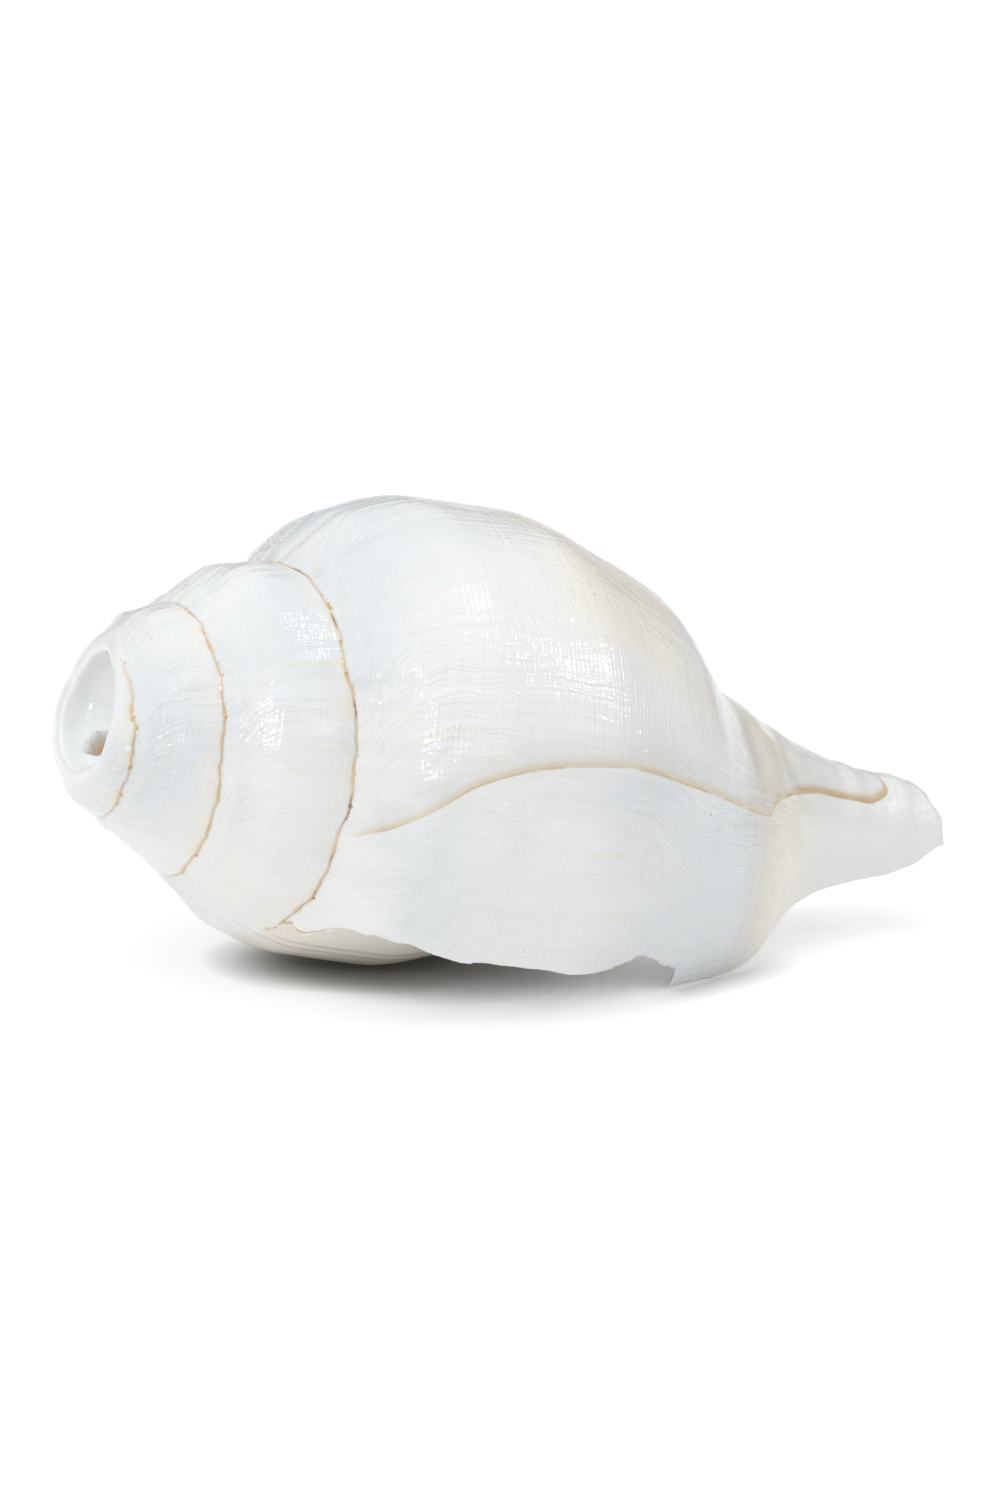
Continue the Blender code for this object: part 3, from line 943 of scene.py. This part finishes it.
class NodeBook:
    """Adds nodes to the tree of one material or world."""

    def __init__(self, owner: bpy.types.Material | bpy.types.World) -> None:
        """Keeps the owner's tree."""
        owner.use_nodes = True
        self.tree = owner.node_tree

    def feed(self, node: bpy.types.Node | str, values: dict) -> None:
        """Gives input sockets their values.

        Args:
            node: the node, or the name of one that is in the tree from the start.
            values: numbers, colours or wires for its input sockets, by name or number.
        """
        inputs = (self.tree.nodes[node] if isinstance(node, str) else node).inputs
        for name, value in values.items():
            if isinstance(value, Wire):
                self.tree.links.new(value.socket, inputs[name])
            else:
                inputs[name].default_value = value

    def add(self, kind: str, settings: dict, values: dict, output: int | str = 0) -> Wire:
        """Adds a node, sets its settings first and then its sockets.

        Args:
            kind: the node's type.
            settings: its properties.
            values: numbers, colours or wires for its input sockets, by name or number.
            output: which output is handed back.

        Returns:
            The wanted output.
        """
        node = self.tree.nodes.new(kind)
        for name, value in settings.items():
            setattr(node, name, value)
        self.feed(node, values)
        return Wire(self, node.outputs[output])

    def parts(self, name: str) -> list:
        """The three numbers that the mesh keeps under a name."""
        stored = self.add("ShaderNodeAttribute", {"attribute_name": name}, {}, "Vector")
        split = self.add("ShaderNodeSeparateXYZ", {}, {"Vector": stored})
        return [split, *(Wire(self, split.socket.node.outputs[k]) for k in (1, 2))]

    def vector(self, x: "Wire | float", y: "Wire | float", z: "Wire | float") -> Wire:
        """A vector of three values."""
        return self.add("ShaderNodeCombineXYZ", {}, {"X": x, "Y": y, "Z": z})

    def noise(self, place: Wire, scale: float, detail: float = 2.0, rough: float = 0.5) -> Wire:
        """Soft noise about 0.5 at the given places."""
        values = {"Vector": place, "Scale": scale, "Detail": detail, "Roughness": rough}
        return self.add("ShaderNodeTexNoise", {"noise_dimensions": "3D"}, values)

    def dots(self, place: Wire, scale: float) -> Wire:
        """The distance to the nearest of many scattered points."""
        values = {"Vector": place, "Scale": scale}
        return self.add("ShaderNodeTexVoronoi", {"feature": "F1"}, values, "Distance")

    def mix(self, factor: "Wire | float", first: "Wire | tuple", second: "Wire | tuple") -> Wire:
        """The first colour where the factor is 0 and the second where it is 1."""
        settings = {"data_type": "RGBA", "clamp_factor": True}
        return self.add("ShaderNodeMix", settings, {0: factor, 6: first, 7: second}, 2)


def colour(red: int, green: int, blue: int) -> tuple:
    """A screen colour, 0 to 255 each, as the linear colour that a shader takes."""
    def linear(value: float) -> float:
        """One channel in linear light."""
        return value / 12.92 if value <= 0.04045 else ((value + 0.055) / 1.055) ** 2.4
    return (*(linear(channel / 255) for channel in (red, green, blue)), 1.0)


@dataclass(frozen=True)
class Glaze:
    """The shell's finish: white porcelain gloss with growth lines, threads and stains, with painted
    shade in the crease before the canal and beside the old lip, and a painted glow in the pierced
    hole.
    """

    white: tuple = colour(230, 232, 232)
    cool: tuple = colour(214, 221, 227)
    cream: tuple = colour(236, 224, 203)
    streak: tuple = colour(222, 205, 180)
    tan: tuple = colour(200, 164, 112)
    band: tuple = colour(214, 200, 170)
    # dusk is a grey that paints shade in the crease before the canal and beside the old lip, and
    # greys the canal's cut end
    dusk: tuple = colour(204, 203, 196)
    brown: tuple = colour(146, 98, 52)
    gold: tuple = colour(212, 178, 122)
    honey: tuple = colour(196, 158, 92)
    blush: tuple = colour(226, 206, 192)
    callus: tuple = colour(222, 213, 197)
    lining: tuple = colour(240, 233, 224)
    thread_mm: float = 0.82
    roughness: float = 0.055
    threads: float = 0.056
    lines: float = 0.110
    grain: float = 0.012
    pitting: float = 0.10
    crease_depth: float = 0.16
    ior: float = 1.53
    specular: float = 0.60
    # painted light: how strongly the pierced hole glows
    hole_painted_glow: float = 0.38

    def make(self) -> bpy.types.Material:
        """Builds the material.

        Returns:
            The shell's one material.
        """
        material = bpy.data.materials.new(SLOT)
        book = NodeBook(material)
        grown, along, place = book.parts("growth")
        from_seam, to_next, old = book.parts("seams")
        lining, worn, hole = book.parts("kinds")
        behind, cap, callus = book.parts("edges")
        outside = (1 - lining) * (1 - worn) * (1 - hole)
        beyond = behind.rise(0.0, -1.5) * outside
        lined = outside * (1 - callus) * (1 - cap) * (1 - beyond)
        texture = book.add("ShaderNodeTexCoord", {}, {}, "Object")
        in_mm = {0: texture, "Scale": 1 / MM}
        spot = book.add("ShaderNodeVectorMath", {"operation": "SCALE"}, in_mm)

        wobble = book.noise(spot, 0.09, 3.0) - 0.5
        line_place = grown + 5.0 * wobble
        across = along + 1.5 * (book.noise(spot, 0.05, 2.0) - 0.5)
        lines = self.growth_lines(book, line_place, across)
        threads = self.spiral_threads(book, across, line_place)
        tone = self.body_colour(book, spot, line_place, across, lines, threads, place, grown)
        seamed = outside * behind.rise(-1.5, 0.5)
        tone = self.seam_stain(book, spot, tone, from_seam, to_next, along, seamed)
        tone = self.old_lip(book, spot, tone, old, place, lined)
        stained = callus.at_least(beyond) * (0.45 + 0.5 * book.noise(spot, 0.08, 2.0))
        tone = book.mix(stained, tone, self.callus)
        fold = (abs(behind) / 0.6).rise(1.0, 0.2) * place.rise(0.045, 0.02)
        tone = book.mix(0.8 * fold * outside, tone, self.tan)
        tone = book.mix(0.4 * cap, tone, self.dusk)
        tone = self.specks(book, spot, tone, outside)
        tone = self.inside(book, spot, tone, lining, hole, behind)
        tone = self.worn_rim(book, spot, tone, worn)

        height = lined * (self.threads * threads + self.lines * lines)
        patches = 0.5 + 0.7 * book.noise(spot, 0.06, 2.0).rise(0.35, 0.62)
        height = height * (1 - 0.5 * place.rise(0.60, 0.72)) * patches
        height = height + self.grain * book.noise(spot, 1.6, 3.0)
        height = height + worn * self.pitting * book.noise(spot, 0.9, 4.0, 0.6)
        height = height - self.crease_depth * seamed * self.crease(from_seam, to_next)
        bump = book.add("ShaderNodeBump", {}, {"Height": height, "Distance": MM, "Strength": 1.0})
        rough = self.roughness + 0.04 * (book.noise(spot, 0.35, 3.0) - 0.5) + 0.30 * hole
        rough = rough + 0.12 * worn * book.noise(spot, 0.5, 2.0) + 0.04 * lines * outside
        # Painted light: the pierced hole glows by emission, in its honey and pink colours.
        glow = book.mix(hole, (0.0, 0.0, 0.0, 1.0), self.hole_colour_and_glow(book, spot))
        book.feed("Principled BSDF", {
            "Base Color": tone, "Roughness": rough, "Normal": bump, "IOR": self.ior,
            "Specular IOR Level": self.specular, "Emission Color": glow,
            "Emission Strength": self.hole_painted_glow,
        })
        return material

    @staticmethod
    def growth_lines(book: NodeBook, grown: Wire, across: Wire) -> Wire:
        """Fine uneven lines that run along the old edges of the lip, from 0 to 1."""
        broad = book.noise(book.vector(grown * 0.42, across * 0.028, 0.0), 1.0, 3.0, 0.6)
        fine = book.noise(book.vector(grown * 1.25, across * 0.05, 7.0), 1.0, 2.0, 0.55)
        return (0.55 * broad + 0.45 * fine).rise(0.36, 0.66)

    def spiral_threads(self, book: NodeBook, across: Wire, grown: Wire) -> Wire:
        """Fine threads that wind round the shell with its whorls, from 0 to 1."""
        even = (across * (TURN / self.thread_mm)).math("SINE") * 0.5 + 0.5
        broken = book.noise(book.vector(across * 0.8, grown * 0.05, 3.0), 1.0, 3.0, 0.6)
        return (0.15 * even + 1.0 * broken - 0.07).rise(0.32, 0.68)

    def body_colour(self, book: NodeBook, spot: Wire, grown: Wire, across: Wire, lines: Wire,
                    threads: Wire, place: Wire, age: Wire) -> Wire:
        """White with cool and cream clouds, faint streaks along the lines and threads, and a grey
        band along the crease before the canal that is partly painted shade and partly grey streaks.

        Args:
            book: the material's nodes.
            spot: the place on the shell, in millimetres.
            grown: the place along the growth, wavering.
            across: the place along the axis, wavering.
            lines: the growth lines, 0 to 1.
            threads: the threads, 0 to 1.
            place: 0 at the whorl's seam, 1 at its canal's end.
            age: the place along the growth.

        Returns:
            The skin's colour.
        """
        clouds = book.noise(spot, 0.022, 3.0)
        bluish = clouds.rise(0.40, 0.66) * (1 - 0.8 * place.rise(0.58, 0.68))
        tone = book.mix(bluish, self.white, self.cool)
        upper = (age / 47.0).rise(-0.95, -1.35) * place.rise(0.22, 0.34) * place.rise(0.66, 0.5)
        neck = place.rise(0.56, 0.62) * place.rise(0.78, 0.66)
        patchy = book.noise(spot, 0.05, 3.0).rise(0.3, 0.62)
        cream = (0.60 * upper * patchy).at_least(0.55 * neck).at_least(0.12 * patchy)
        tone = book.mix(cream, tone, self.cream)
        streaks = book.noise(book.vector(grown * 0.9, across * 0.025, 11.0), 1.0, 4.0, 0.7)
        tone = book.mix(0.26 * streaks.rise(0.50, 0.72), tone, self.streak)
        # Painted shade mixed with grey streaks: a grey band darkens the crease where the body turns
        # into the canal.
        crease_shade_and_streaks = abs(place - 0.600).rise(0.045, 0.0) * (0.35 + 0.65 * threads)
        tone = book.mix(0.55 * crease_shade_and_streaks, tone, self.dusk)
        return book.mix(0.05 * threads.rise(0.6, 0.2) + 0.05 * lines, tone, self.streak)

    @staticmethod
    def crease(from_seam: Wire, to_next: Wire) -> Wire:
        """1 in the seam itself and 0 a little way from it."""
        return (from_seam.at_most(to_next) / 0.5).rise(1.0, 0.0)

    def seam_stain(self, book: NodeBook, spot: Wire, tone: Wire, from_seam: Wire, to_next: Wire,
                   along: Wire, seamed: Wire) -> Wire:
        """A thin golden line in the seams, browner in the body's seam, and a halo on one side.

        Args:
            book: the material's nodes.
            spot: the place on the shell, in millimetres.
            tone: the colour so far.
            from_seam: the distance to the whorl's own seam.
            to_next: the distance to the next whorl's seam.
            along: the place on the axis.
            seamed: 1 where seams may show.

        Returns:
            The stained colour.
        """
        uneven = book.noise(spot, 0.30, 3.0)
        halo = (to_next / 4.5).rise(1.0, 0.0) * uneven.rise(0.35, 0.65)
        tone = book.mix(0.50 * halo * seamed, tone, self.cream)
        near = (to_next / 1.2).rise(1.0, 0.0) * uneven.rise(0.42, 0.62)
        tone = book.mix(0.40 * near * seamed, tone, self.gold)
        shaky = from_seam.at_most(to_next) + 0.35 * (book.noise(spot, 0.8, 2.0) - 0.5)
        line = (shaky / (0.12 + 0.30 * uneven)).rise(1.0, 0.2)
        tone = book.mix(0.75 * line * seamed, tone, self.gold)
        dark = book.noise(spot, 0.20, 2.0).rise(0.46, 0.66) * along.rise(46.0, 52.0)
        tone = book.mix(0.80 * line * dark * seamed, tone, self.brown)
        knots = book.noise(spot, 0.75, 1.0).rise(0.64, 0.70) * (shaky / 0.55).rise(1.0, 0.5)
        return book.mix(0.75 * knots * seamed, tone, book.mix(dark, self.honey, self.brown))

    def old_lip(self, book: NodeBook, spot: Wire, tone: Wire, old: Wire, place: Wire,
                outside: Wire) -> Wire:
        """The band that an earlier lip left: crisp on its younger side, soft on the other, with
        painted shade over the older side of its step.

        Args:
            book: the material's nodes.
            spot: the place on the shell, in millimetres.
            tone: the colour so far.
            old: the distance past the old lip, negative on the older side.
            place: 0 at the whorl's seam, 1 at its canal's end.
            outside: 1 on the outer skin.

        Returns:
            The colour with the band.
        """
        uneven = book.noise(spot, 0.18, 3.0)
        band = (old / 0.25).rise(1.0, -0.2) * (-old / 1.8).rise(1.0, 0.15)
        on_canal = place.rise(0.60, 0.72)
        shown = place.rise(0.005, 0.03) * outside
        strength = 0.75 + 0.35 * uneven + 0.15 * on_canal
        tone = book.mix(band * strength * shown, tone, book.mix(on_canal, self.band, self.tan))
        # Painted shade: a grey wash on the older side of the old lip's step.
        shade = (-old / 7.0).rise(1.0, 0.2) * (old / 0.25).rise(1.0, -0.2)
        tone = book.mix(0.35 * shade * shown, tone, self.dusk)
        edge = (0.60 + 0.3 * on_canal) * (abs(old - 0.05) / 0.34).rise(1.0, 0.2)
        return book.mix(edge * uneven.rise(0.3, 0.55) * shown, tone, self.tan)

    def specks(self, book: NodeBook, spot: Wire, tone: Wire, outside: Wire) -> Wire:
        """A few tiny brown specks and short marks."""
        rare = book.noise(spot, 0.11, 1.0).rise(0.56, 0.60)
        dots = book.dots(spot, 0.16).rise(0.055, 0.03) * rare
        return book.mix(0.8 * dots * outside, tone, self.tan)

    def inside(self, book: NodeBook, spot: Wire, tone: Wire, lining: Wire, hole: Wire,
               behind: Wire) -> Wire:
        """A warmer lining, deeper in colour away from the lip, and honey brown in the hole.

        Args:
            book: the material's nodes.
            spot: the place on the shell, in millimetres.
            tone: the colour so far.
            lining: 1 inside the shell.
            hole: 1 in the pierced hole.
            behind: the distance behind the lip.

        Returns:
            The colour, inside and out.
        """
        tone = book.mix(lining, tone, self.lining)
        deep = (behind / 60.0).rise(0.1, 1.0) * lining
        tone = book.mix(0.5 * deep, tone, self.blush)
        return book.mix(hole, tone, self.hole_colour_and_glow(book, spot))

    def hole_colour_and_glow(self, book: NodeBook, spot: Wire) -> Wire:
        """Honey and pink patches in the pierced hole: its own colour, and the colour of its painted
        glow.
        """
        return book.mix(0.5 * book.noise(spot, 0.22, 2.0).rise(0.45, 0.62), self.honey, self.blush)

    def worn_rim(self, book: NodeBook, spot: Wire, tone: Wire, worn: Wire) -> Wire:
        """White ground shell with a few honey spots."""
        tone = book.mix(0.8 * worn, tone, self.white)
        spots = worn.rise(0.97, 0.75) * book.dots(spot, 0.20).rise(0.20, 0.10)
        spots = spots * book.noise(spot, 0.3, 2.0).rise(0.5, 0.6)
        return book.mix(0.8 * spots * worn, tone, self.honey)


@dataclass(frozen=True)
class Paper:
    """The plain pale floor, with a weak glow that fades where the shell is near or above: a painted
    shadow.
    """

    white: tuple = colour(178, 178, 178)
    shade: tuple = colour(174, 174, 174)
    glow: float = 0.60
    roughness: float = 0.9
    specular: float = 0.1
    contact_reach: float = 0.007
    contact_samples: int = 12
    cover_reach: float = 0.060
    cover_samples: int = 20

    def make(self) -> bpy.types.Material:
        """Builds the floor's material, a matt white with a faint grain and a glow that is dimmed
        into a painted shadow near and under the shell.

        Returns:
            The floor's material.
        """
        material = bpy.data.materials.new("paper")
        book = NodeBook(material)
        place = book.add("ShaderNodeTexCoord", {}, {}, "Object")
        grain = book.noise(place, 60.0, 2.0)
        # Painted shadow: two occlusion reads dim the floor's glow close to the shell and under it.
        contact, cover = (
            book.add("ShaderNodeAmbientOcclusion", {"samples": samples}, {"Distance": reach}, "AO")
            for samples, reach in ((self.contact_samples, self.contact_reach),
                                   (self.cover_samples, self.cover_reach))
        )
        glow_left_by_painted_shadow = contact * cover.rise(0.08, 0.23)
        channels = dict.fromkeys(("Red", "Green", "Blue"), glow_left_by_painted_shadow)
        book.feed("Principled BSDF", {
            "Base Color": book.mix(grain, self.white, self.shade),
            "Roughness": self.roughness + 0.05 * grain,
            "Specular IOR Level": self.specular,
            "Emission Color": book.add("ShaderNodeCombineColor", {}, channels),
            "Emission Strength": self.glow,
        })
        return material


def direction(azimuth: float, elevation: float) -> Vector:
    """The way to a light or camera: azimuth 0 is in front, on the -Y side, and 90 degrees is +X."""
    flat = math.cos(elevation)
    return Vector((math.sin(azimuth) * flat, -math.cos(azimuth) * flat, math.sin(elevation)))


@dataclass(frozen=True)
class SoftBox:
    """One round soft light: its direction in degrees, its distance, width and power."""

    name: str
    azimuth: float
    elevation: float
    distance: float
    size: float
    power: float


@dataclass
class Studio:
    """The floor, the soft lights and the camera at the photograph's viewing angle."""

    azimuth: float = math.radians(-24.71)
    elevation: float = math.radians(13.72)
    roll: float = math.radians(2.13)
    target_mm: tuple = (0.075, 6.415, 34.77)
    distance: float = 1.52
    lens: float = 213.3
    sensor: float = 36.0
    floor_size: float = 12.0
    floor_gap: float = 0.0002
    overhead_azimuth: float = math.radians(-72)
    overhead_elevation: float = math.radians(58)
    overhead_power: float = 1.52
    overhead_spread: float = math.radians(80)
    room_top: float = 0.73
    room_side: float = 0.17
    room_height: float = 0.8
    room_tint: tuple = (0.965, 0.98, 1.0, 1.0)
    boxes: tuple = (
        SoftBox("top box", 65.0, 74.0, 1.2, 0.09, 0.7),
        SoftBox("right box", 66.0, 40.0, 1.2, 0.12, 1.7),
        SoftBox("left box", -52.0, 22.0, 1.2, 0.10, 1.1),
    )

    def camera(self) -> None:
        """Places the camera and makes it the scene's own."""
        back = direction(self.azimuth, self.elevation)
        level = Vector((math.cos(self.azimuth), math.sin(self.azimuth), 0.0))
        upright = back.cross(level)
        right = level * math.cos(self.roll) + upright * math.sin(self.roll)
        up = back.cross(right)
        data = bpy.data.cameras.new("camera")
        data.lens, data.sensor_width, data.sensor_fit = self.lens, self.sensor, "AUTO"
        data.clip_end = 50.0
        camera = bpy.data.objects.new("camera", data)
        turn = Matrix((right, up, back)).transposed().to_4x4()
        place = Vector(self.target_mm) * MM + back * self.distance
        camera.matrix_world = Matrix.Translation(place) @ turn
        bpy.context.scene.collection.objects.link(camera)
        bpy.context.scene.camera = camera

    def floor(self) -> None:
        """A wide sheet of white paper just under the shell."""
        half = self.floor_size / 2
        mesh = bpy.data.meshes.new("floor")
        corners = [(-half, -half, 0), (half, -half, 0), (half, half, 0), (-half, half, 0)]
        mesh.from_pydata(corners, [], [(0, 1, 2, 3)])
        floor = bpy.data.objects.new("floor", mesh)
        floor.location.z = -self.floor_gap
        floor.data.materials.append(Paper().make())
        bpy.context.scene.collection.objects.link(floor)

    @staticmethod
    def light(box: SoftBox) -> None:
        """Makes a round soft light that faces the shell."""
        data = bpy.data.lights.new(box.name, "AREA")
        data.shape, data.size, data.energy = "DISK", box.size, box.power
        light = bpy.data.objects.new(box.name, data)
        source = direction(math.radians(box.azimuth), math.radians(box.elevation))
        light.location = source * box.distance + Vector((0.0, 0.0, 0.04))
        light.rotation_euler = (-source).to_track_quat("-Z", "Y").to_euler()
        bpy.context.scene.collection.objects.link(light)

    def overhead(self) -> None:
        """The wide soft light above, leaning towards the camera's side."""
        sun = bpy.data.lights.new("overhead", "SUN")
        sun.energy, sun.angle = self.overhead_power, self.overhead_spread
        overhead = bpy.data.objects.new("overhead", sun)
        source = direction(self.overhead_azimuth, self.overhead_elevation)
        overhead.rotation_euler = (-source).to_track_quat("-Z", "Y").to_euler()
        overhead.visible_glossy = False
        bpy.context.scene.collection.objects.link(overhead)

    def surroundings(self) -> None:
        """A pale room, brighter above than at the sides."""
        world = bpy.data.worlds.new("studio")
        book = NodeBook(world)
        place = book.add("ShaderNodeTexCoord", {}, {}, "Generated")
        height = book.add("ShaderNodeSeparateXYZ", {}, {"Vector": place}, "Z")
        strength = height.between(0.0, self.room_height, self.room_side, self.room_top)
        book.feed("Background", {"Color": self.room_tint, "Strength": strength})
        bpy.context.scene.world = world

    def build(self) -> None:
        """Sets up the floor, the lights, the surroundings and the camera."""
        self.camera()
        self.floor()
        self.overhead()
        for box in self.boxes:
            self.light(box)
        self.surroundings()
        bpy.context.scene.view_settings.view_transform = "Standard"


def main() -> None:
    """Builds the shell and its studio, and logs the shell's face and point counts."""
    logging.basicConfig(level=logging.INFO, format="%(name)s: %(message)s")
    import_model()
    conch = Conch()
    shell = conch.build()
    shell.data.materials.append(Glaze().make())
    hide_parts(NODE)
    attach(shell, "root")
    log.info("shell: %d faces, %d points", len(shell.data.polygons), len(shell.data.vertices))
    Studio().build()
    log.info("studio: floor, lights and camera are in place")


if __name__ == "__main__":
    main()
